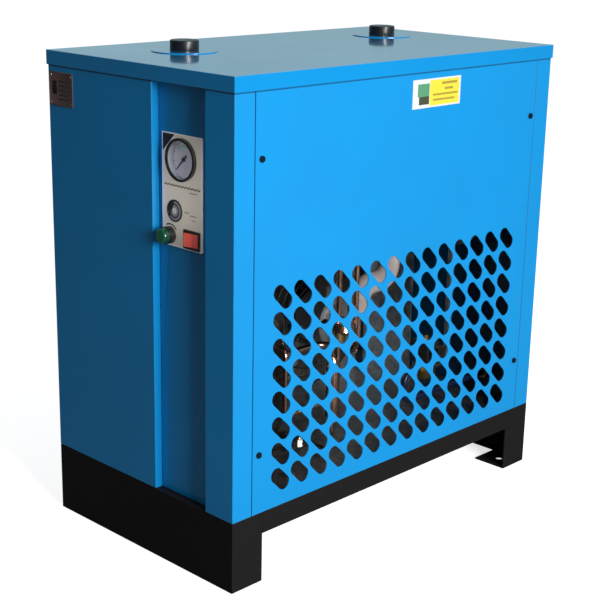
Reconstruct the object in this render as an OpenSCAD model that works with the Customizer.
// Refrigerated compressed-air dryer: a sheet-metal cabinet on a raised base, with its refrigeration circuit.
// Millimetres. The origin is at the middle of the footprint, on the floor. +Z is up, and the control side
// faces -Y.
// Routes of pipes run along the axes and turn through round bends.

/* [Cabinet] */
// Overall width, across the top cover
body_w = 400; // [380:5:500]
// Overall depth, across the top cover
body_d = 700; // [690:5:860]
// Height from the floor to the top face of the cover
body_h = 720; // [700:5:880]
// Sheet thickness of the posts, panels and cover
sheet = 1.5; // [1:0.1:2]
// Height of the cover's side lip
cover_lip_h = 21; // [14:1:30]
// Gap between the cover's lip and the body inside it
cover_gap = 0.5; // [0.3:0.1:1]
// Gap round a removable panel
panel_gap = 0.5; // [0.3:0.1:1]
// Visible width of a corner post on the side walls
post_side_w = 36; // [30:1:45]
// Visible width of the rear posts on the rear wall
post_rear_w = 36; // [30:1:45]
// Width of the flange behind a removable panel
seat_w = 26; // [22:1:30]
// Distance from a post's visible edge to the screws of the panel beside it
screw_inset = 12.5; // [10:0.5:15]
// Height of the lower panel screws above the floor
screw_low_z = 196; // [150:1:260]
// Height of the upper panel screws above the floor
screw_high_z = 610; // [500:1:640]
// Diameter of a panel screw
screw_d = 4; // [3:0.5:5]
// Diameter of a panel screw's head
screw_head_d = 9; // [8:0.5:10]

/* [Base] */
// Height of the black base
base_h = 107; // [90:1:130]
// Sheet thickness of the base
base_sheet = 3; // [2:0.5:4]
// Length of the leg that a beam turns round the corner
leg_d = 58; // [50:1:70]
// Height of the side rails between the legs
rail_h = 33; // [25:1:40]
// Width of a side rail's top flange
rail_flange = 32; // [25:1:40]
// Width of a foot flange
foot_w = 60; // [50:1:80]
// Diameter of an anchor hole
anchor_d = 12; // [10:1:14]
// Thickness of the floor pan
pan_t = 2; // [1.5:0.5:3]
// Gap between the floor pan and the walls
pan_gap = 2; // [1:0.5:4]

/* [Front] */
// Width of the raised front panel
front_w = 232; // [210:1:250]
// Visible width of the right front post on the front
post_front_w = 56; // [45:1:65]
// Depth of the control recess
recess_d = 13; // [8:0.5:18]
// Width of the flange along the recess
recess_flange = 15; // [12:1:20]

/* [Grille] */
// Columns of slots
slot_columns = 14; // [8:1:15]
// Rows of slots
slot_rows = 8; // [4:1:9]
// Distance between columns
slot_pitch_y = 39.4; // [37:0.2:41]
// Distance between rows
slot_pitch_z = 38.3; // [36:0.1:40]
// Width of a slot
slot_w = 22; // [16:0.5:24]
// Length of a slot
slot_l = 42; // [34:0.5:46]
// Height of the lowest row's centres above the floor
slot_low_z = 147.5; // [140:0.5:160]
// Slope of the slots
slot_angle = 45; // [30:1:60]

/* [Controls] */
// Width of the instrument plate
plate_w = 82; // [78:1:95]
// Height of the instrument plate
plate_h = 156; // [145:1:170]
// Thickness of the instrument plate
plate_t = 1.5; // [1:0.5:2]
// Height of the instrument plate's lower edge above the floor
plate_z = 475; // [450:1:500]
// Distance from the front panel's edge to the instrument plate
plate_inset = 8; // [4:1:14]
// Diameter of the gauge's bezel
gauge_d = 59; // [50:1:72]
// Width of the gauge's bezel ring
gauge_ring_w = 3.5; // [3:0.5:6]
// Depth of the gauge's case behind the plate
gauge_depth = 32; // [25:1:40]
// Distance from the gauge's rim to the instrument plate's top edge
gauge_margin = 4.5; // [2:0.5:12]
// Diameter of the lamp's lens
lamp_d = 22; // [16:1:24]
// Height of the lamp and the switch above the instrument plate's lower edge
switch_rise = 15; // [14:1:20]
// Distance from the instrument plate's left edge to the lamp's centre
lamp_inset = 16; // [15:1:18]
// Distance from the instrument plate's right edge to the rocker's centre
rocker_inset = 20; // [18:1:24]
// Width of the rocker
rocker_w = 24.8; // [20:0.2:26]
// Height of the rocker
rocker_h = 19; // [16:0.5:20]
// Angle between the rocker's two positions
rocker_throw = 18; // [12:1:20]

/* [Ports] */
// Outer diameter of the air pipes
pipe_d = 33.7; // [26.9:0.1:42.4]
// Wall thickness of the air pipes
pipe_wall = 3.25; // [2:0.25:4]
// Length of pipe that stands above its port plate
pipe_proud = 12; // [10:1:24]
// Distance of both ports to the left of the middle
port_x = 68; // [50:1:75]
// Distance of the inlet port in front of the middle
inlet_y = 200; // [160:1:220]
// Distance of the outlet port behind the middle
outlet_y = 237; // [180:1:245]
// Diameter of a port plate
port_plate_d = 98; // [80:1:110]
// Diameter of the hole in the cover under a port plate
cover_hole_d = 78; // [60:1:80]
// Thickness of a port plate
port_plate_t = 1.2; // [1:0.1:2]
// Gap round a pipe in its port plate
port_gap = 0.6; // [0.4:0.1:1]
// Wall and top thickness of a port cap
cap_wall = 3; // [2:0.5:4]
// Radial clearance of a port cap on its pipe
cap_gap = 0.08; // [0.05:0.01:0.1]

/* [Heat exchanger] */
// Outer diameter of the exchanger's shell
shell_d = 170; // [150:5:180]
// Wall thickness of the shell
shell_wall = 3; // [2:0.5:4]
// Length of the shell
shell_l = 560; // [540:5:580]
// Thickness of the insulation
foam_t = 20; // [15:1:22]
// Depth of the exchanger's axis below the cover
exchanger_drop = 190; // [180:1:200]
// Distance of the exchanger's middle behind the cabinet's middle
exchanger_y = 10; // [0:1:15]
// Thickness of the exchanger's stands
stand_t = 3; // [2:0.5:4]
// Width of the exchanger's stands
stand_w = 110; // [90:5:120]

/* [Compressor] */
// Diameter of the compressor's shell
compressor_d = 160; // [140:2:170]
// Height of the compressor above its feet
compressor_h = 215; // [190:5:230]
// Distance of the compressor in front of the middle
compressor_y = 165; // [160:1:170]
// Distance between the rubber feet across the cabinet
feet_x = 180; // [170:2:190]
// Distance between the rubber feet along the cabinet
feet_y = 116; // [110:2:124]
// Height of the rubber feet
grommet_h = 18; // [14:1:24]
// Diameter of the rubber feet
grommet_d = 30; // [24:1:32]
// Diameter of the studs
stud_d = 8; // [6:1:8]

/* [Condenser and fan] */
// Thickness of the condenser's core
core_t = 50; // [46:1:52]
// Length of the condenser's core
core_l = 316; // [300:2:330]
// Height of the condenser's core
core_h = 284; // [280:2:290]
// Rows of tubes, which is an even number
tube_rows = 10; // [8:2:10]
// Distance between rows of tubes
tube_pitch = 28; // [24:1:28]
// Distance between the two columns of tubes
column_pitch = 22; // [20:1:24]
// Diameter of the condenser's tubes
tube_d = 9.5; // [8:0.5:10]
// Distance between fins
fin_pitch = 6; // [5:0.5:10]
// Thickness of a fin
fin_t = 0.8; // [0.5:0.1:1]
// Diameter of the fan
fan_d = 240; // [190:5:250]
// Gap between the blade tips and the shroud
fan_gap = 6; // [4:0.5:8]
// Number of blades
blade_count = 5; // [4:1:7]
// Diameter of the fan's hub
hub_d = 76; // [60:2:86]
// Diameter of the fan motor
motor_d = 92; // [80:2:100]
// Length of the fan motor
motor_l = 70; // [60:1:80]
// Diameter of the fan's shaft
shaft_d = 8; // [6:0.5:10]
// Radial running clearance of the shaft in the motor
shaft_gap = 0.05; // [0.02:0.01:0.1]
// Diameter of the guard's wire
wire_d = 3; // [2.5:0.5:4]

/* [Separator and drain] */
// Diameter of the separator
separator_d = 80; // [70:2:84]
// Height of the separator
separator_h = 165; // [150:5:180]
// Distance of the separator to the right of the middle
separator_x = 105; // [100:1:110]
// Distance of the separator behind the middle
separator_y = 235; // [230:1:245]
// Height of the drain valve above the floor pan
valve_rise = 78; // [70:1:90]
// Height of the drain outlet above the floor pan
outlet_rise = 31; // [28:1:36]
// Outer diameter of the drain hose
hose_d = 10; // [8:0.5:12]
// Diameter of the drain outlet's tail
tail_d = 10; // [8:0.5:12]

/* [Refrigerant lines] */
// Diameter of the discharge, liquid and hot-gas lines
line_d = 8; // [6:0.5:9.5]
// Diameter of the suction line
suction_d = 12; // [10:0.5:14]
// Thickness of the suction line's insulation
suction_foam_t = 11; // [6:1:12]
// Diameter of the capillary tube
capillary_d = 3; // [2.5:0.5:3.5]
// Turns of the capillary's coil
capillary_turns = 5; // [3:1:7]
// Diameter of the filter drier
drier_d = 22; // [18:1:26]

/* [Electrical] */
// Width of the electrical box
ebox_w = 105; // [80:1:110]
// Height of the electrical box
ebox_h = 140; // [100:5:150]
// Depth of the electrical box
ebox_d = 70; // [50:1:72]
// Bore of the supply cable's gland
gland_bore_d = 10; // [8:0.5:12]

/* [Hidden] */
$fn = 48;
// A cut runs this far past the face it opens
past = 1;

blue = [0.09, 0.55, 0.88];
black = [0.08, 0.08, 0.08];
copper = [0.72, 0.42, 0.27];
steel = [0.72, 0.73, 0.75];
brass = [0.78, 0.62, 0.3];

// The body's outer faces, inside the cover's lip
half_w = body_w / 2 - sheet - cover_gap;
half_d = body_d / 2 - sheet - cover_gap;
post_top = body_h - sheet;
panel_top = post_top - 2;
panel_low = base_h + panel_gap;
floor_z = base_h + pan_t;
side_panel_half = half_d - post_side_w - panel_gap;
rear_panel_half = half_w - post_rear_w - panel_gap;
side_screw_y = half_d - post_side_w - screw_inset;
rear_screw_x = half_w - post_rear_w - screw_inset;
screw_hole_d = screw_d + 0.4;
screw_hole_l = 4 * sheet;
screw_head_h = 2.5;
screw_grip = 8;
// A hole round a part that is fastened in it
snug = 0.2;

// The recess between the front panel and the right front post
recess_y = -half_d + recess_d;
left_leg_w = recess_flange + 10;
recess_left = -half_w + front_w;
recess_right = half_w - post_front_w;

// Places on the instrument plate, whose front face is at plate_y
plate_y = recess_y - plate_t;
plate_left = recess_left + plate_inset;
gauge_x = plate_left + plate_w / 2;
gauge_z = plate_z + plate_h - gauge_margin - gauge_d / 2;
lamp_x = plate_left + lamp_inset;
rocker_x = plate_left + plate_w - rocker_inset;
switch_z = plate_z + switch_rise;

// The gauge's radii, from its rim inwards
gauge_case_r = gauge_d / 2 - 2.5;
gauge_case_wall = 1;
gauge_hole_r = gauge_case_r + snug;
gauge_pocket = 6;
gauge_flange_t = 1.5;
gauge_stem_r = 7;
gauge_stem_l = 14;
gauge_bore_r = 3;
gauge_bore_l = 10;
lens_t = 2;
bezel_lip_t = 1.5;
lens_r = gauge_d / 2 - gauge_ring_w + 1;
dial_t = 0.8;
// The needle on its spindle, which turns in a blind hole
needle_r = 1;
needle_gap = 0.05;
spindle_l = 4;
spindle_hole_l = 5;
needle_rest_angle = 225;
needle_float = 0.4;
needle_t = 0.6;
needle_tail_l = 8;
needle_tail_w = 2.8;
needle_tip_w = 0.7;
needle_short = 5;
boss_r = 3;
boss_t = 2;

// The lamp
lamp_collar_h = 10;
lamp_lens_h = 9;
lamp_neck_r = lamp_d / 2 - 0.5;
lamp_depth = 40;
lamp_nut_t = 5;
lamp_nut_r = lamp_d / 2 + 3;
lamp_edge_r = 3;

// The rocker's pocket and its pivot, which lies behind the plate's face
rocker_pocket_w = rocker_w + 2.2;
rocker_pocket_h = rocker_h + 0.5;
rocker_wall_x = 0.9;
rocker_wall_z = 1.8;
rocker_body_w = rocker_pocket_w + 2 * rocker_wall_x;
rocker_body_h = rocker_pocket_h + 2 * rocker_wall_z;
rocker_rim = 1.6;
rocker_rim_t = 3;
rocker_depth = 26;
rocker_pocket_floor = 11;
rocker_rise = 6.5;
rocker_skirt = 3;
terminal_x = 7;
terminal_t = 0.8;
terminal_w = 6;
terminal_l = 8;
rocker_pivot_y = plate_y + 2;
trunnion_r = 1.5;
trunnion_gap = 0.05;
trunnion_l = 1.2;
trunnion_end_gap = 0.1;

// The exchanger lies along Y under the two ports
exchanger_x = -port_x;
exchanger_z = body_h - exchanger_drop;
shell_r = shell_d / 2;
foam_r = shell_r + foam_t;
shell_front = exchanger_y - shell_l / 2;
shell_rear = exchanger_y + shell_l / 2;
shell_cap_t = 4;
foam_end_t = 15;
foam_edge_x = exchanger_x + foam_r;
port_top = body_h + port_plate_t + pipe_proud;

// The compressor stands on rubber feet in front of the middle
compressor_r = compressor_d / 2;
feet_z = floor_z + grommet_h;
feet_t = 3;
compressor_z = feet_z + feet_t;

// The condenser stands by the left side panel, with the fan on its inner face
core_x = -half_w + 15;
core_y = -48;
core_face_x = core_x + core_t;
core_mid_y = core_y + core_l / 2;
core_mid_z = floor_z + core_h / 2;
frame_t = 2;
outer_column_x = core_x + core_t / 2 - column_pitch / 2;
inner_column_x = core_x + core_t / 2 + column_pitch / 2;
tube_low_z = core_mid_z - (tube_rows - 1) / 2 * tube_pitch;
tube_top_z = core_mid_z + (tube_rows - 1) / 2 * tube_pitch;
tube_stub = 8;
shroud_t = 2;
collar_l = 38;
collar_wall = 2;
collar_r = fan_d / 2 + fan_gap;
collar_end_x = core_face_x + shroud_t + collar_l;
guard_x = collar_end_x + wire_d / 2;
spoke_shift = 0.4;
motor_x = collar_end_x + wire_d + spoke_shift;
hub_l = 30;
hub_gap = 6;
hub_x = motor_x - hub_l - hub_gap;
shaft_in_motor = motor_l - 12;
motor_bore_l = motor_l - 11;

// The separator hangs on its two pipes to the right of the exchanger
separator_r = separator_d / 2;
separator_top = exchanger_z + 30;
separator_low = separator_top - separator_h;
separator_pipe_r = 13;
separator_pipes = [[-18, exchanger_z - 30], [0, exchanger_z + 5]];
drain_leg_r = 6;
drain_leg_bend = 20;
valve_z = floor_z + valve_rise;
valve_y = separator_y - 60;
valve_l = 40;
valve_body = [28, 28, 26];
valve_union_r = 10;
valve_stem_r = 6;
valve_stem_l = 60;
coil_body = [34, 30, 38];
coil_plug = [19, 20, 26];
coil_plug_z = 6;
outlet_z = floor_z + outlet_rise;
drain_nut_l = 7;
drain_thread_r = tail_d / 2 + 2;
drain_flange_r = tail_d / 2 + 6;
drain_bore_r = 3;
valve_socket = 3;
hose_reach = 30;
hose_bend = 16;

// Refrigerant routes, each a list of corners
line_r = line_d / 2;
line_bend = 12;
suction_r = suction_d / 2;
suction_bend = 26;
right_lane = 100;
far_lane = 130;
low_lane_z = floor_z + 9;
loop_z = 185;
over_z = exchanger_z - foam_r - 20;
suction_end_z = 250;
suction_y = 80;
suction_run_z = 360;
suction_drop_y = 10;
drier_y = -78;
drier_z = 165;
drier_l = 105;
riser_y = -35;
valve_mid_z = 300;
capillary_r = capillary_d / 2;
capillary_bend = 10;
capillary_socket = 3;
coil_r = 18;
coil_z = 320;
coil_step = capillary_d * 0.93;
discharge_z = 290;
discharge_route = [
    [compressor_r - 20, -compressor_y + 15, discharge_z],
    [right_lane, -compressor_y + 15, discharge_z],
    [right_lane, -compressor_y + 15, loop_z],
    [right_lane, riser_y, loop_z],
    [right_lane, riser_y, over_z],
    [inner_column_x, riser_y, over_z],
    [inner_column_x, core_y - 30, over_z],
    [inner_column_x, core_y - 30, tube_top_z],
    [inner_column_x, core_y - 4, tube_top_z]];
suction_route = [
    [exchanger_x + shell_r - 7, suction_y, exchanger_z],
    [right_lane, suction_y, exchanger_z],
    [right_lane, suction_y, suction_run_z],
    [right_lane, suction_drop_y, suction_run_z],
    [right_lane, suction_drop_y, suction_end_z],
    [30, suction_drop_y, suction_end_z],
    [30, -compressor_y + compressor_r - 15, suction_end_z]];
foam_route = [
    [foam_edge_x - 3, suction_y, exchanger_z],
    [right_lane, suction_y, exchanger_z],
    [right_lane, suction_y, suction_run_z],
    [right_lane, suction_drop_y, suction_run_z],
    [right_lane, suction_drop_y, suction_run_z - 40]];
liquid_route = [
    [outer_column_x, core_y - 4, tube_top_z],
    [outer_column_x, core_y - 30, tube_top_z],
    [outer_column_x, core_y - 30, low_lane_z],
    [far_lane, core_y - 30, low_lane_z],
    [far_lane, core_y - 30, drier_z + 5]];
hot_gas_route = [
    [right_lane + 8, riser_y, valve_mid_z],
    [right_lane + 35, riser_y, valve_mid_z],
    [right_lane + 35, riser_y, exchanger_z - 30],
    [exchanger_x + shell_r - 15, riser_y, exchanger_z - 30]];
capillary_out_route = [
    [far_lane + 2 * coil_r, drier_y, coil_z],
    [far_lane + 2 * coil_r, drier_y, exchanger_z + 10],
    [exchanger_x + shell_r - 10, drier_y, exchanger_z + 10]];
hose_route = [
    [separator_x, valve_y - valve_l / 2 + valve_socket, valve_z],
    [separator_x, valve_y - valve_l / 2 - hose_reach, valve_z],
    [separator_x, valve_y - valve_l / 2 - hose_reach, outlet_z],
    [separator_x, half_d - sheet - drain_nut_l, outlet_z]];
drain_leg_route = [
    [separator_x, separator_y, separator_low + 10],
    [separator_x, separator_y, valve_z],
    [separator_x, valve_y + valve_l / 2 - valve_socket, valve_z]];

gland_x = -110;
gland_z = 160;
gland_thread_r = gland_bore_d / 2 + 3;

function unit(v) = v / norm(v);
function corner_trim(path, i, bend) = (i == 0 || i == len(path) - 1) ? 0 : bend;

// A box between two opposite corners
module block(low, high) {
    translate(low) cube(high - low);
}

// A round bar between two points
module rod(from, to, r) {
    run = to - from;
    translate(from)
        rotate([0, acos(run.z / norm(run)), atan2(run.y, run.x)])
            cylinder(h = norm(run), r = r);
}

// A quarter bend at a corner of a path
module elbow(path, i, r, bend) {
    before = unit(path[i] - path[i - 1]);
    after = unit(path[i + 1] - path[i]);
    centre = path[i] - before * bend + after * bend;
    side = cross(-after, before);
    multmatrix([
        [-after.x, before.x, side.x, centre.x],
        [-after.y, before.y, side.y, centre.y],
        [-after.z, before.z, side.z, centre.z],
        [0, 0, 0, 1]])
        rotate_extrude(angle = 90) translate([bend, 0]) circle(r = r);
}

// A round bar along a path whose corners are right angles
module bent_rod(path, r, bend) {
    last = len(path) - 1;
    for (i = [0 : last - 1]) {
        along = unit(path[i + 1] - path[i]);
        rod(path[i] + along * corner_trim(path, i, bend),
            path[i + 1] - along * corner_trim(path, i + 1, bend), r);
    }
    for (i = [1 : last - 1]) elbow(path, i, r, bend);
}

// Copies at both ends of an axis, mirrored about the middle
module both_sides(axis) {
    children();
    mirror(axis) children();
}

// ---- Base ----

// A beam across the front: a plate, legs round both corners, a top flange and two foot flanges
module base_beam() {
    difference() {
        union() {
            block([-half_w, -half_d, 0], [half_w, -half_d + base_sheet, base_h]);
            block([-half_w, -half_d, base_h - base_sheet], [half_w, -half_d + leg_d, base_h]);
            both_sides([1, 0, 0]) {
                block([half_w - base_sheet, -half_d, 0], [half_w, -half_d + leg_d, base_h]);
                block([half_w - foot_w, -half_d, 0], [half_w, -half_d + leg_d, base_sheet]);
            }
        }
        both_sides([1, 0, 0])
            translate([half_w - foot_w / 2, -half_d + leg_d / 2, -past])
                cylinder(h = base_sheet + 2 * past, d = anchor_d);
    }
}

module base_front_beam() color(black) base_beam();

module base_rear_beam() color(black) mirror([0, 1, 0]) base_beam();

module base_side_rails() color(black)
    both_sides([1, 0, 0]) {
        end = half_d - leg_d;
        block([half_w - base_sheet, -end, base_h - rail_h], [half_w, end, base_h]);
        block([half_w - rail_flange, -end, base_h - base_sheet], [half_w, end, base_h]);
    }

module floor_pan() color(steel)
    block([-half_w + 2 * sheet + pan_gap, recess_y + sheet + pan_gap, base_h],
        [half_w - 2 * sheet - pan_gap, half_d - 2 * sheet - pan_gap, floor_z]);

// ---- Posts and panels, each drawn from above and raised ----

// One leg of a post: its outer face is on the Y axis, and a stepped flange at its end seats a panel
module seat_leg(width) {
    translate([-sheet, 0]) square([sheet, width]);
    translate([-2 * sheet, width - sheet]) square([2 * sheet, sheet]);
    translate([-2 * sheet, width - sheet]) square([sheet, sheet + seat_w]);
}

// The folded edge beside the recess: a return and a flange, with its outer corner at the origin
module recess_edge() {
    square([sheet, recess_d]);
    translate([0, recess_d - sheet]) square([recess_flange, sheet]);
}

// Screw holes through a right side panel or its seats
module side_screw_holes() {
    for (y = [-side_screw_y, side_screw_y], z = [screw_low_z, screw_high_z])
        rod([half_w - screw_hole_l, y, z], [half_w + past, y, z], screw_hole_d / 2);
}

// Screw holes through the rear panel or its seats
module rear_screw_holes() {
    for (x = [-rear_screw_x, rear_screw_x], z = [screw_low_z, screw_high_z])
        rod([x, half_d - screw_hole_l, z], [x, half_d + past, z], screw_hole_d / 2);
}

module raise_post() {
    translate([0, 0, base_h]) linear_extrude(post_top - base_h) children();
}

module front_right_post() color(blue)
    difference() {
        raise_post() translate([half_w, -half_d]) {
            seat_leg(post_side_w);
            translate([-post_front_w, 0]) square([post_front_w, sheet]);
            translate([-post_front_w, 0]) recess_edge();
        }
        side_screw_holes();
    }

// Its front leg lies behind the front panel's flange
module front_left_post() color(blue)
    difference() {
        raise_post() translate([-half_w, recess_y]) {
            mirror([1, 0]) seat_leg(post_side_w - recess_d);
            square([left_leg_w, sheet]);
        }
        mirror([1, 0, 0]) side_screw_holes();
    }

module rear_post() {
    difference() {
        raise_post() translate([half_w, half_d]) {
            mirror([0, 1]) seat_leg(post_side_w);
            rotate(90) seat_leg(post_rear_w);
        }
        side_screw_holes();
        rear_screw_holes();
    }
}

module rear_right_post() color(blue) rear_post();

module rear_left_post() color(blue) mirror([1, 0, 0]) rear_post();

module front_panel() color(blue)
    translate([-half_w, -half_d, panel_low])
        linear_extrude(panel_top - panel_low) {
            square([front_w, sheet]);
            recess_edge();
            translate([front_w, 0]) mirror([1, 0]) recess_edge();
        }

// Cut-outs for the gauge, the lamp and the rocker through the recess and its plate
module control_cutouts() {
    depth = sheet + plate_t + past;
    rod([gauge_x, plate_y - past, gauge_z], [gauge_x, plate_y + depth, gauge_z], gauge_hole_r);
    rod([lamp_x, plate_y - past, switch_z], [lamp_x, plate_y + depth, switch_z], lamp_neck_r + snug);
    half_hole = [rocker_body_w / 2 + snug, 0, rocker_body_h / 2 + snug];
    block([rocker_x, plate_y - past, switch_z] - half_hole, [rocker_x, plate_y + depth, switch_z] + half_hole);
}

module control_channel() color(blue)
    difference() {
        block([recess_left - recess_flange, recess_y, panel_low],
            [recess_right + recess_flange, recess_y + sheet, panel_top]);
        control_cutouts();
    }

// A slot with round ends, along X
module slot() {
    straight = slot_l - slot_w;
    square([straight, slot_w], center = true);
    for (end = [-1, 1]) translate([end * straight / 2, 0]) circle(d = slot_w);
}

// The rows of slots, on a plane with the cabinet's depth along X and its height along Y
module grille_slots() {
    for (column = [0 : slot_columns - 1], row = [0 : slot_rows - 1])
        translate([(column - (slot_columns - 1) / 2) * slot_pitch_y, slot_low_z + row * slot_pitch_z])
            rotate(-slot_angle) slot();
}

module side_panel() {
    difference() {
        translate([half_w - sheet, 0, 0]) rotate([90, 0, 90])
            linear_extrude(sheet) difference() {
                translate([-side_panel_half, panel_low]) square([2 * side_panel_half, panel_top - panel_low]);
                grille_slots();
            }
        side_screw_holes();
    }
}

module right_side_panel() color(blue) side_panel();

module left_side_panel() color(blue) mirror([1, 0, 0]) side_panel();

module rear_panel() color(blue)
    difference() {
        block([-rear_panel_half, half_d - sheet, panel_low], [rear_panel_half, half_d, panel_top]);
        rear_screw_holes();
        rod([gland_x, half_d - 2 * sheet, gland_z], [gland_x, half_d + past, gland_z], gland_thread_r + snug);
        rod([separator_x, half_d - 2 * sheet, outlet_z], [separator_x, half_d + past, outlet_z],
            drain_thread_r + snug);
    }

// A pan-head screw along X, with its head's seat at the origin
module panel_screw() {
    rod([0, 0, 0], [screw_head_h, 0, 0], screw_head_d / 2);
    rod([-screw_grip, 0, 0], [0, 0, 0], screw_d / 2);
}

module panel_screws() color(black) {
    both_sides([1, 0, 0])
        for (y = [-side_screw_y, side_screw_y], z = [screw_low_z, screw_high_z])
            translate([half_w, y, z]) panel_screw();
    for (x = [-rear_screw_x, rear_screw_x], z = [screw_low_z, screw_high_z])
        translate([x, half_d, z]) rotate(90) panel_screw();
}

module top_cover() color(blue)
    difference() {
        block([-body_w / 2, -body_d / 2, body_h - cover_lip_h], [body_w / 2, body_d / 2, body_h]);
        block([-body_w / 2 + sheet, -body_d / 2 + sheet, body_h - cover_lip_h - past],
            [body_w / 2 - sheet, body_d / 2 - sheet, body_h - sheet]);
        for (y = [-inlet_y, outlet_y])
            translate([exchanger_x, y, body_h - 2 * sheet])
                cylinder(h = 2 * sheet + past, d = cover_hole_d);
    }

module port_plates() color(blue)
    for (y = [-inlet_y, outlet_y])
        translate([exchanger_x, y, body_h])
            difference() {
                cylinder(h = port_plate_t, d = port_plate_d);
                translate([0, 0, -past]) cylinder(h = port_plate_t + 2 * past, r = pipe_d / 2 + port_gap);
            }

// ---- Controls ----

module instrument_plate() color([0.78, 0.77, 0.74])
    difference() {
        block([plate_left, plate_y, plate_z], [plate_left + plate_w, recess_y, plate_z + plate_h]);
        control_cutouts();
    }

// Turns a shape drawn along +Z so that it points out of the front, with its base on the plate at x, z
module on_plate(x, z) {
    translate([x, plate_y, z]) rotate([90, 0, 0]) children();
}

module gauge_case() color(black)
    on_plate(gauge_x, gauge_z) difference() {
        union() {
            translate([0, 0, -gauge_depth]) cylinder(h = gauge_depth, r = gauge_case_r);
            cylinder(h = gauge_flange_t, d = gauge_d);
            translate([0, 0, -gauge_depth - gauge_stem_l]) cylinder(h = gauge_stem_l, r = gauge_stem_r);
        }
        translate([0, 0, -gauge_pocket])
            cylinder(h = gauge_pocket + gauge_flange_t + past, r = gauge_case_r - gauge_case_wall);
        translate([0, 0, -gauge_pocket - spindle_hole_l])
            cylinder(h = spindle_hole_l + past, r = needle_r + needle_gap);
        translate([0, 0, -gauge_depth - gauge_stem_l - past])
            cylinder(h = gauge_bore_l + past, r = gauge_bore_r);
    }

module gauge_dial() color([0.9, 0.9, 0.88])
    on_plate(gauge_x, gauge_z) difference() {
        translate([0, 0, -gauge_pocket]) cylinder(h = dial_t, r = gauge_case_r - gauge_case_wall - snug);
        translate([0, 0, -gauge_pocket - past]) cylinder(h = dial_t + 2 * past, r = needle_r + needle_gap);
    }

// The needle and its spindle, resting on the zero mark at the lower left
module gauge_needle() color(black)
    on_plate(gauge_x, gauge_z) rotate(needle_rest_angle) {
        lift = dial_t + needle_float - gauge_pocket;
        point_l = gauge_case_r - gauge_case_wall - needle_short;
        translate([0, 0, -gauge_pocket - spindle_l])
            cylinder(h = lift + gauge_pocket + spindle_l, r = needle_r);
        translate([0, 0, lift]) cylinder(h = boss_t, r = boss_r);
        translate([0, 0, lift + (boss_t - needle_t) / 2])
            linear_extrude(needle_t)
                polygon([[-needle_tail_l, -needle_tail_w / 2], [point_l, -needle_tip_w / 2],
                    [point_l, needle_tip_w / 2], [-needle_tail_l, needle_tail_w / 2]]);
    }

module gauge_lens() color([0.85, 0.92, 0.95, 0.35])
    on_plate(gauge_x, gauge_z) translate([0, 0, gauge_flange_t]) cylinder(h = lens_t, r = lens_r);

module gauge_bezel() color(black)
    on_plate(gauge_x, gauge_z) translate([0, 0, gauge_flange_t]) difference() {
        cylinder(h = lens_t + bezel_lip_t, d = gauge_d);
        translate([0, 0, -past]) cylinder(h = lens_t + past, r = lens_r);
        cylinder(h = lens_t + bezel_lip_t + past, r = gauge_d / 2 - gauge_ring_w);
    }

// A lamp's collar, with its neck through the plate and a nut behind the recess
module lamp_body() color(black)
    on_plate(lamp_x, switch_z) {
        cylinder(h = lamp_collar_h, r = lamp_d / 2 + 1);
        translate([0, 0, -lamp_depth]) cylinder(h = lamp_depth, r = lamp_neck_r);
        translate([0, 0, -plate_t - sheet - lamp_nut_t]) cylinder(h = lamp_nut_t, r = lamp_nut_r);
    }

// A lens with a rounded front edge
module lamp_lens() color([0.05, 0.4, 0.2])
    on_plate(lamp_x, switch_z) translate([0, 0, lamp_collar_h]) rotate_extrude() {
        square([lamp_d / 2, lamp_lens_h - lamp_edge_r]);
        square([lamp_d / 2 - lamp_edge_r, lamp_lens_h]);
        translate([lamp_d / 2 - lamp_edge_r, lamp_lens_h - lamp_edge_r]) intersection() {
            circle(r = lamp_edge_r);
            square(lamp_edge_r);
        }
    }

// A frame with a pocket for the rocker, a rim on the plate and two terminals behind
module rocker_housing() color(black)
    translate([rocker_x, plate_y, switch_z])
        difference() {
            half_body = [rocker_body_w / 2, 0, rocker_body_h / 2];
            half_rim = half_body + [rocker_rim, 0, rocker_rim];
            union() {
                block(-half_body, half_body + [0, rocker_depth, 0]);
                block(-half_rim - [0, rocker_rim_t, 0], half_rim);
                for (side = [-1, 1])
                    block([side * terminal_x - terminal_t / 2, rocker_depth - past, -terminal_w / 2],
                        [side * terminal_x + terminal_t / 2, rocker_depth + terminal_l, terminal_w / 2]);
            }
            block([-rocker_pocket_w / 2, -rocker_rim_t - past, -rocker_pocket_h / 2],
                [rocker_pocket_w / 2, rocker_pocket_floor, rocker_pocket_h / 2]);
            translate([0, rocker_pivot_y - plate_y, -rocker_pocket_h / 2 - trunnion_l])
                cylinder(h = rocker_pocket_h + 2 * trunnion_l, r = trunnion_r + trunnion_gap);
        }

// A shallow V that turns on two trunnions, resting with its right end pressed in
module rocker() color([0.75, 0.12, 0.1])
    translate([rocker_x, rocker_pivot_y, switch_z]) rotate(rocker_throw / 2) {
        dip = rocker_w / 2 * tan(rocker_throw / 2);
        translate([0, 0, -rocker_h / 2]) linear_extrude(rocker_h)
            polygon([[-rocker_w / 2, rocker_skirt], [-rocker_w / 2, -rocker_rise], [0, -rocker_rise + dip],
                [rocker_w / 2, -rocker_rise], [rocker_w / 2, rocker_skirt]]);
        translate([0, 0, -rocker_pocket_h / 2 - trunnion_l + trunnion_end_gap])
            cylinder(h = rocker_pocket_h + 2 * (trunnion_l - trunnion_end_gap), r = trunnion_r);
    }

// ---- Ports ----

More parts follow.
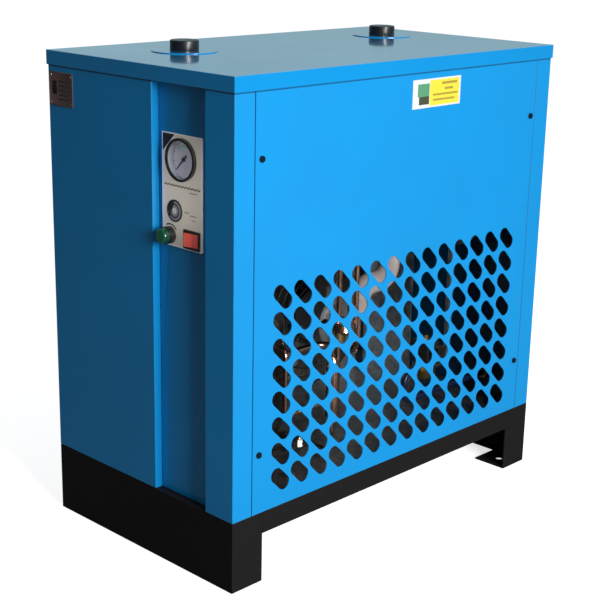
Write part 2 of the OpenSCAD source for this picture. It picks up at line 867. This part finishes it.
// A pipe from the exchanger's shell, on which its foot is shaped, to just above the port plate
module air_pipe(y) {
    difference() {
        translate([exchanger_x, y, exchanger_z]) cylinder(h = port_top - exchanger_z, d = pipe_d);
        translate([exchanger_x, y, exchanger_z - past])
            cylinder(h = port_top - exchanger_z + 2 * past, r = pipe_d / 2 - pipe_wall);
        rod([exchanger_x, y - pipe_d, exchanger_z], [exchanger_x, y + pipe_d, exchanger_z], shell_r);
    }
}

module inlet_pipe() color(steel) air_pipe(-inlet_y);

module outlet_pipe() color(steel) air_pipe(outlet_y);

// A push-on cap, seated on the end of its pipe and on its port plate
module port_cap(y) {
    bore_r = pipe_d / 2 + cap_gap;
    rim = 1.3;
    top_r = bore_r + cap_wall + rim;
    chamfer = 1;
    translate([exchanger_x, y, body_h + port_plate_t]) difference() {
        union() {
            cylinder(h = pipe_proud + cap_wall - chamfer, r = top_r);
            translate([0, 0, pipe_proud + cap_wall - chamfer])
                cylinder(h = chamfer, r1 = top_r, r2 = top_r - chamfer);
        }
        translate([0, 0, -past]) cylinder(h = pipe_proud + past, r = bore_r);
    }
}

module inlet_cap() color(black) port_cap(-inlet_y);

module outlet_cap() color(black) port_cap(outlet_y);

// ---- Heat exchanger ----

// A bar of the exchanger's axis from one Y to another
module along_exchanger(from_y, to_y, r) {
    rod([exchanger_x, from_y, exchanger_z], [exchanger_x, to_y, exchanger_z], r);
}

module exchanger_shell() color(steel)
    difference() {
        along_exchanger(shell_front, shell_rear, shell_r);
        along_exchanger(shell_front + shell_cap_t, shell_rear - shell_cap_t, shell_r - shell_wall);
        for (y = [-inlet_y, outlet_y])
            translate([exchanger_x, y, exchanger_z]) cylinder(h = shell_r + past, r = pipe_d / 2 - pipe_wall);
    }

module exchanger_insulation() color([0.14, 0.14, 0.15])
    difference() {
        along_exchanger(shell_front - foam_end_t, shell_rear + foam_end_t, foam_r);
        along_exchanger(shell_front, shell_rear, shell_r);
        for (y = [-inlet_y, outlet_y])
            translate([exchanger_x, y, exchanger_z]) cylinder(h = foam_r + past, r = pipe_d / 2);
    }

// Two upright plates with a saddle on top and a foot on the floor pan
module exchanger_stands() color(steel) {
    foot_l = 38;
    inset = 23;
    saddle_depth = 25;
    for (end = [-1, 1]) {
        face_y = exchanger_y + end * (shell_l / 2 - inset + foam_end_t);
        near = face_y - end * stand_t;
        far = face_y + end * foot_l;
        difference() {
            union() {
                block([exchanger_x - stand_w / 2, min(near, face_y), floor_z],
                    [exchanger_x + stand_w / 2, max(near, face_y), exchanger_z - foam_r + saddle_depth]);
                block([exchanger_x - stand_w / 2, min(near, far), floor_z],
                    [exchanger_x + stand_w / 2, max(near, far), floor_z + stand_t]);
            }
            along_exchanger(shell_front - foam_end_t - past, shell_rear + foam_end_t + past, foam_r);
        }
    }
}

// Tubes from end to end of the shell, held by three baffles
module evaporator_bundle() color(copper) {
    bundle_r = 48;
    bundle_tube_r = 6;
    outer_tubes = 6;
    baffle_t = 2;
    baffle_pitch = shell_l / 4;
    baffle_gap = 0.5;
    baffle_r = shell_r - shell_wall - baffle_gap;
    for (k = [0 : outer_tubes]) {
        out = k == 0 ? 0 : bundle_r;
        x = exchanger_x + out * cos(360 / outer_tubes * k);
        z = exchanger_z + out * sin(360 / outer_tubes * k);
        rod([x, shell_front + shell_cap_t, z], [x, shell_rear - shell_cap_t, z], bundle_tube_r);
    }
    for (k = [-1 : 1])
        difference() {
            mid = exchanger_y + k * baffle_pitch;
            along_exchanger(mid - baffle_t / 2, mid + baffle_t / 2, baffle_r);
            block([exchanger_x - shell_r, mid - baffle_t, exchanger_z + (k == 0 ? bundle_r : -shell_r)],
                [exchanger_x + shell_r, mid + baffle_t, exchanger_z + (k == 0 ? shell_r : -bundle_r)]);
        }
}

// ---- Compressor ----

// A hermetic shell with a rounded top and bottom, a weld ring and a welded foot plate
module compressor() color(black)
    translate([0, -compressor_y, compressor_z]) {
        round_r = 35;
        ring_z = 105;
        ring_w = 4;
        ring_h = 6;
        rotate_extrude() {
            translate([0, round_r]) square([compressor_r, compressor_h - 2 * round_r]);
            square([compressor_r - round_r, compressor_h]);
            for (z = [round_r, compressor_h - round_r])
                translate([compressor_r - round_r, z]) intersection() {
                    circle(r = round_r);
                    translate([0, z == round_r ? -round_r : 0]) square(round_r);
                }
            translate([0, ring_z]) square([compressor_r + ring_w, ring_h]);
        }
        difference() {
            edge = grommet_d / 2 + 2;
            stud_play = 0.5;
            half_plate = [feet_x / 2 + edge, feet_y / 2 + edge, 0];
            block(-half_plate - [0, 0, feet_t], half_plate);
            for (x = [-feet_x / 2, feet_x / 2], y = [-feet_y / 2, feet_y / 2])
                translate([x, y, -feet_t - past])
                    cylinder(h = feet_t + 2 * past, r = stud_d / 2 + stud_play);
        }
    }

// Places its children at the four rubber feet, on the floor pan
module at_feet() {
    for (x = [-feet_x / 2, feet_x / 2], y = [-feet_y / 2, feet_y / 2])
        translate([x, y - compressor_y, floor_z]) children();
}

module compressor_grommets() color([0.15, 0.15, 0.15])
    at_feet() difference() {
        cylinder(h = grommet_h, d = grommet_d);
        translate([0, 0, -past]) cylinder(h = grommet_h + 2 * past, r = stud_d / 2 + snug);
    }

// A stud with its nut above the foot plate
module compressor_studs() color(steel)
    at_feet() {
        nut_t = 6.5;
        nut_d = stud_d * 1.8;
        stud_end = 3;
        cylinder(h = grommet_h + feet_t + nut_t + stud_end, d = stud_d);
        translate([0, 0, grommet_h + feet_t]) cylinder(h = nut_t, d = nut_d, $fn = 6);
    }

module terminal_cover() color([0.12, 0.12, 0.12])
    difference() {
        proud = 24;
        sunk = 12;
        half_cover = 28;
        low = 120;
        high = 172;
        block([-compressor_r - proud, -compressor_y - half_cover, compressor_z + low],
            [-compressor_r + sunk, -compressor_y + half_cover, compressor_z + high]);
        translate([0, -compressor_y, compressor_z]) cylinder(h = compressor_h, r = compressor_r);
    }

// ---- Condenser and fan ----

module condenser_frame() color(steel)
    difference() {
        block([core_x, core_y, floor_z], [core_face_x, core_y + core_l, floor_z + core_h]);
        block([core_x - past, core_y + frame_t, floor_z + frame_t],
            [core_face_x + past, core_y + core_l - frame_t, floor_z + core_h - frame_t]);
        for (x = [outer_column_x, inner_column_x], row = [0 : tube_rows - 1])
            rod([x, core_y - past, tube_low_z + row * tube_pitch],
                [x, core_y + core_l + past, tube_low_z + row * tube_pitch], tube_d / 2 + snug);
    }

module condenser_fins() color([0.8, 0.81, 0.83]) {
    room = core_l - 2 * frame_t;
    count = floor(room / fin_pitch) - 1;
    first_y = core_mid_y - count * fin_pitch / 2;
    for (k = [0 : count])
        block([core_x, first_y + k * fin_pitch - fin_t / 2, floor_z + frame_t],
            [core_face_x, first_y + k * fin_pitch + fin_t / 2, floor_z + core_h - frame_t]);
}

// A half-turn that joins two tubes at one end of the core: end is -1 at the front and 1 at the rear
module return_bend(end, bend) {
    rotate([0, 90, 0]) rotate(end > 0 ? 0 : 180)
        rotate_extrude(angle = 180) translate([bend, 0]) circle(d = tube_d);
}

// Two columns of tubes in one circuit: down the inner column and up the outer one
module condenser_tubes() color(copper) {
    front = core_y - tube_stub;
    rear = core_y + core_l + tube_stub;
    for (x = [outer_column_x, inner_column_x]) {
        for (row = [0 : tube_rows - 1])
            rod([x, front, tube_low_z + row * tube_pitch], [x, rear, tube_low_z + row * tube_pitch],
                tube_d / 2);
        for (row = [0 : tube_rows - 2]) {
            end = row % 2 == 0 ? 1 : -1;
            translate([x, end > 0 ? rear : front, tube_low_z + (row + 1 / 2) * tube_pitch])
                return_bend(end, tube_pitch / 2);
        }
    }
    translate([(outer_column_x + inner_column_x) / 2, front, tube_low_z])
        rotate(180) rotate_extrude(angle = 180) translate([column_pitch / 2, 0]) circle(d = tube_d);
}

// A ring along X, centred on the fan's axis
module fan_ring(x, length, outer_r, inner_r) {
    difference() {
        rod([x, core_mid_y, core_mid_z], [x + length, core_mid_y, core_mid_z], outer_r);
        rod([x - past, core_mid_y, core_mid_z], [x + length + past, core_mid_y, core_mid_z], inner_r);
    }
}

module fan_shroud() color(steel) {
    difference() {
        block([core_face_x, core_y, floor_z], [core_face_x + shroud_t, core_y + core_l, floor_z + core_h]);
        rod([core_face_x - past, core_mid_y, core_mid_z],
            [core_face_x + shroud_t + past, core_mid_y, core_mid_z], collar_r);
    }
    fan_ring(core_face_x, shroud_t + collar_l, collar_r + collar_wall, collar_r);
}

// Flat blades set at an angle round a hub, with the shaft that runs in the motor
module fan_impeller() color([0.2, 0.2, 0.2])
    translate([0, core_mid_y, core_mid_z]) {
        blade_w = 56;
        blade_t = 2;
        pitch_angle = 28;
        root_r = hub_d / 4;
        hub_mid = hub_x + hub_l / 2;
        rod([hub_x, 0, 0], [hub_x + hub_l, 0, 0], hub_d / 2);
        rod([hub_x + hub_l, 0, 0], [motor_x + shaft_in_motor, 0, 0], shaft_d / 2);
        intersection() {
            rod([hub_mid - blade_w, 0, 0], [hub_mid + blade_w, 0, 0], fan_d / 2);
            for (k = [0 : blade_count - 1])
                rotate([360 / blade_count * k, 0, 0]) translate([hub_mid, 0, 0]) rotate([0, 0, pitch_angle])
                    block([-blade_t / 2, -blade_w / 2, root_r], [blade_t / 2, blade_w / 2, fan_d]);
        }
    }

module fan_motor() color([0.75, 0.76, 0.78])
    translate([motor_x, core_mid_y, core_mid_z])
        difference() {
            end_t = 14;
            end_step = 12;
            box_x = 15;
            box_l = 30;
            half_box = 18;
            box_sunk = 6;
            box_proud = 16;
            union() {
                rod([0, 0, 0], [motor_l - end_t, 0, 0], motor_d / 2);
                rod([motor_l - end_t, 0, 0], [motor_l, 0, 0], motor_d / 2 - end_step);
                block([box_x, -half_box, motor_d / 2 - box_sunk],
                    [box_x + box_l, half_box, motor_d / 2 + box_proud]);
            }
            rod([-past, 0, 0], [motor_bore_l, 0, 0], shaft_d / 2 + shaft_gap);
        }

// Wire rings on spokes, from the collar's end to the motor's face
module fan_guard() color(black)
    translate([guard_x, core_mid_y, core_mid_z]) {
        wire_r = wire_d / 2;
        inner_r = motor_d / 2 - 10;
        outer_r = collar_r + collar_wall / 2;
        rings = 7;
        spokes = 6;
        first_spoke = 15;
        for (k = [0 : rings - 1])
            rotate([0, 90, 0]) rotate_extrude()
                translate([inner_r + (outer_r - inner_r) * k / (rings - 1), 0]) circle(r = wire_r, $fn = 16);
        for (k = [0 : spokes - 1])
            rotate([360 / spokes * k + first_spoke, 0, 0])
                rod([spoke_shift, 0, inner_r], [spoke_shift, 0, outer_r], wire_r);
    }

// ---- Separator and drain ----

// A welded vessel with two air pipes to the exchanger and a drain leg down to the valve
module separator() color(steel) {
    round_r = 25;
    translate([separator_x, separator_y, separator_low])
        rotate_extrude() {
            translate([0, round_r]) square([separator_r, separator_h - 2 * round_r]);
            square([separator_r - round_r, separator_h]);
            for (z = [round_r, separator_h - round_r])
                translate([separator_r - round_r, z]) intersection() {
                    circle(r = round_r);
                    translate([0, z == round_r ? -round_r : 0]) square(round_r);
                }
        }
    for (pipe = separator_pipes)
        rod([exchanger_x + shell_r - 15, separator_y + pipe[0], pipe[1]],
            [separator_x - separator_r / 2, separator_y + pipe[0], pipe[1]], separator_pipe_r);
    bent_rod(drain_leg_route, drain_leg_r, drain_leg_bend);
}

// A solenoid valve: a brass body with a stem, and round unions at both ends
module drain_valve() color(brass)
    translate([separator_x, valve_y, valve_z]) {
        block(-valve_body / 2, valve_body / 2);
        rod([0, -valve_l / 2, 0], [0, valve_l / 2, 0], valve_union_r);
        cylinder(h = valve_stem_l, r = valve_stem_r);
    }

// The valve's coil, a potted block that slides on the stem, with a plug box on its side
module drain_coil() color([0.1, 0.1, 0.1])
    translate([separator_x, valve_y, valve_z + valve_body.z / 2])
        difference() {
            union() {
                translate([-coil_body.x / 2, -coil_body.y / 2, 0]) cube(coil_body);
                translate([coil_body.x / 2, -coil_plug.y / 2, coil_plug_z]) cube(coil_plug);
            }
            translate([0, 0, -past]) cylinder(h = coil_body.z + 2 * past, r = valve_stem_r);
        }

module drain_hose() color([0.2, 0.4, 0.8]) bent_rod(hose_route, hose_d / 2, hose_bend);

// A bulkhead fitting in the rear panel, with a tail for the user's drain hose
module drain_outlet() color(brass)
    translate([separator_x, half_d, outlet_z]) rotate([-90, 0, 0])
        difference() {
            tail_l = 10;
            flange_t = 3;
            nut_t = drain_nut_l - 1;
            union() {
                cylinder(h = flange_t + tail_l, d = tail_d);
                cylinder(h = flange_t, r = drain_flange_r);
                translate([0, 0, -sheet - drain_nut_l]) cylinder(h = sheet + drain_nut_l, r = drain_thread_r);
                translate([0, 0, -sheet - nut_t]) cylinder(h = nut_t, r = drain_flange_r, $fn = 6);
            }
            translate([0, 0, -sheet - drain_nut_l - past])
                cylinder(h = sheet + drain_nut_l + flange_t + tail_l + 2 * past, r = drain_bore_r);
        }

// ---- Refrigerant circuit ----

// A copper can with tapered ends
module filter_drier() color(copper)
    translate([far_lane, drier_y, drier_z]) {
        taper = 12;
        neck_r = 6;
        cylinder(h = taper, r1 = neck_r, r2 = drier_d / 2);
        translate([0, 0, taper]) cylinder(h = drier_l - 2 * taper, d = drier_d);
        translate([0, 0, drier_l - taper]) cylinder(h = taper, r1 = drier_d / 2, r2 = neck_r);
    }

// A thin tube from the drier, wound in a coil and led to the exchanger. Each turn is drawn as a ring
module capillary() color(copper) {
    top = coil_z + (capillary_turns - 1) * coil_step;
    rod([far_lane, drier_y, drier_z + drier_l - capillary_socket], [far_lane, drier_y, coil_z], capillary_r);
    for (k = [0 : capillary_turns - 1])
        translate([far_lane + coil_r, drier_y, coil_z + k * coil_step])
            rotate_extrude() translate([coil_r, 0]) circle(r = capillary_r);
    bent_rod([[capillary_out_route[0].x, drier_y, top], capillary_out_route[1], capillary_out_route[2]],
        capillary_r, capillary_bend);
}

module discharge_line() color(copper) bent_rod(discharge_route, line_r, line_bend);

module suction_line() color(copper) bent_rod(suction_route, suction_r, suction_bend);

module suction_insulation() color([0.75, 0.72, 0.7])
    difference() {
        bent_rod(foam_route, suction_r + suction_foam_t, suction_bend);
        bent_rod(suction_route, suction_r, suction_bend);
    }

module liquid_line() color(copper) bent_rod(liquid_route, line_r, line_bend);

// A brass valve round the riser, with an adjusting stem on the left and its outlet on the right
module hot_gas_valve() color(brass)
    translate([right_lane, riser_y, valve_mid_z]) {
        body_l = 34;
        body_r = 12;
        outlet_l = 22;
        union_r = line_r + 4;
        stem_l = 30;
        stem_r = 9;
        translate([0, 0, -body_l / 2]) cylinder(h = body_l, r = body_r);
        rod([0, 0, 0], [outlet_l, 0, 0], union_r);
        rod([0, 0, 0], [-stem_l, 0, 0], stem_r);
    }

module hot_gas_line() color(copper) bent_rod(hot_gas_route, line_r, line_bend);

// ---- Electrical ----

// A closed sheet box on the back of the recess
module electrical_box() color([0.55, 0.56, 0.58]) {
    below_plate = 35;
    inset = 10;
    low = [recess_left + inset, recess_y + sheet, plate_z - below_plate - ebox_h];
    wall = [1.2, 1.2, 1.2];
    high = low + [ebox_w, ebox_d, ebox_h];
    difference() {
        block(low, high);
        block(low + wall, high - wall);
    }
}

// A gland with a dome outside the rear panel and a nut inside
module cable_gland() color(black)
    translate([gland_x, half_d, gland_z]) rotate([-90, 0, 0])
        difference() {
            dome_l = 12;
            nut_l = 6;
            thread_l = sheet + nut_l + 3;
            dome_r = gland_thread_r + 3;
            nut_r = gland_thread_r + 4;
            union() {
                cylinder(h = dome_l, r = dome_r);
                translate([0, 0, -thread_l]) cylinder(h = thread_l, r = gland_thread_r);
                translate([0, 0, -sheet - nut_l]) cylinder(h = nut_l, r = nut_r, $fn = 6);
            }
            translate([0, 0, -thread_l - past])
                cylinder(h = thread_l + dome_l + 2 * past, d = gland_bore_d);
        }

base_front_beam();
base_rear_beam();
base_side_rails();
floor_pan();
front_right_post();
front_left_post();
rear_right_post();
rear_left_post();
front_panel();
control_channel();
right_side_panel();
left_side_panel();
rear_panel();
top_cover();
port_plates();
panel_screws();
instrument_plate();
gauge_case();
gauge_dial();
gauge_needle();
gauge_lens();
gauge_bezel();
lamp_body();
lamp_lens();
rocker_housing();
rocker();
inlet_pipe();
outlet_pipe();
inlet_cap();
outlet_cap();
exchanger_shell();
exchanger_insulation();
exchanger_stands();
evaporator_bundle();
compressor();
compressor_grommets();
compressor_studs();
terminal_cover();
condenser_fins();
condenser_tubes();
condenser_frame();
fan_shroud();
fan_impeller();
fan_motor();
fan_guard();
separator();
drain_valve();
drain_coil();
drain_hose();
drain_outlet();
filter_drier();
capillary();
discharge_line();
suction_line();
suction_insulation();
liquid_line();
hot_gas_valve();
hot_gas_line();
electrical_box();
cable_gland();
